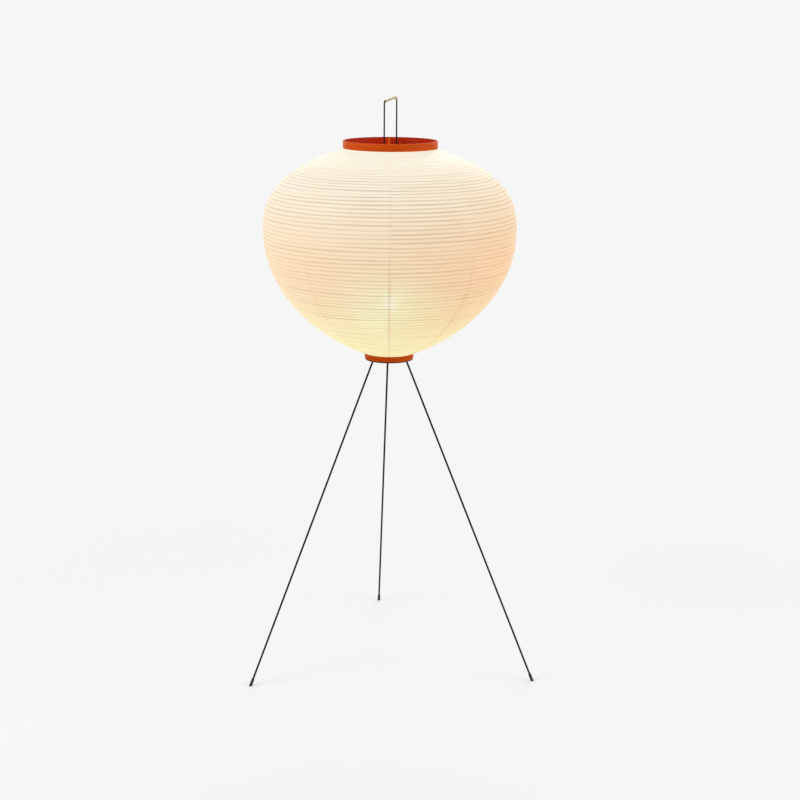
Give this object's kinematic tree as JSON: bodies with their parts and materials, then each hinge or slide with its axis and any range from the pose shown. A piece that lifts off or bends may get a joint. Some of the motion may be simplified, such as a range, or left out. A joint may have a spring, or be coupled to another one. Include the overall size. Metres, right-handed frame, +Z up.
{
  "type": "paper lantern floor lamp",
  "caption": "Floor lamp with a round ribbed paper shade between bentwood rings, held open by a wire stretcher with a cane-wrapped handle, on a tripod of plug-in rods.",
  "frame": {"origin": "on the floor, on the axis of the shade and stretcher, in the middle of the three feet", "axes": "+Z up; +Y towards the back leg; +X to the right as seen from the front, between the two front legs"},
  "size_m": [0.6034, 0.6127, 1.2136],
  "materials": {
    "paper": "handmade paper, translucent, warm white",
    "bamboo": "split bamboo, unfinished",
    "bentwood": "orange-brown stain, satin lacquer",
    "black_steel": "black, satin",
    "cane": "split cane, satin",
    "zinc_steel": "zinc plated",
    "black_plastic": "moulded, matte",
    "porcelain": "unglazed white",
    "brass": "bare",
    "opal_glass": "opal white",
    "lamp_aluminium": "rolled thread",
    "rubber": "matte"
  },
  "bodies": {
    "frame": {"bottom_ring": "bentwood", "paper_shade": "paper", "bamboo_ribbing": "bamboo", "base_plate": "black_steel", "leg_socket_back": "black_steel", "leg_socket_left": "black_steel", "leg_socket_right": "black_steel", "stretcher": "black_steel", "handle_grip": "cane", "nipple": "zinc_steel", "lock_nut": "zinc_steel", "cord_bushing": "black_plastic", "holder_cap": "black_plastic", "holder_core": "porcelain", "contact_leaf": "brass", "screw_shell": "brass", "holder_shell": "black_plastic"},
    "shade_top": {"top_ring": "bentwood", "cross_bar": "black_steel"},
    "lamp": {"lamp_glass": "opal_glass", "lamp_cap": "lamp_aluminium", "lamp_button": "brass"},
    "back_leg": {"leg_back": "black_steel", "foot_back": "rubber"},
    "left_leg": {"leg_left": "black_steel", "foot_left": "rubber"},
    "right_leg": {"leg_right": "black_steel", "foot_right": "rubber"}
  },
  "joints": [
    {"name": "shade_collapse", "type": "slide", "parent": "frame", "child": "shade_top", "axis": [0, 0, -1], "range_m": [0, 0.22], "deforming": ["paper_shade", "bamboo_ribbing"]},
    {"name": "lamp_out", "type": "slide", "parent": "frame", "child": "lamp", "axis": [0, 0, 1], "range_m": [0, 0.028]},
    {"name": "back_leg_pull", "type": "slide", "parent": "frame", "child": "back_leg", "axis": [0, 0.4155, -0.9096], "range_m": [0, 0.045]},
    {"name": "left_leg_pull", "type": "slide", "parent": "frame", "child": "left_leg", "axis": [-0.3599, -0.2078, -0.9096], "range_m": [0, 0.045]},
    {"name": "right_leg_pull", "type": "slide", "parent": "frame", "child": "right_leg", "axis": [0.3599, -0.2078, -0.9096], "range_m": [0, 0.045]}
  ]
}
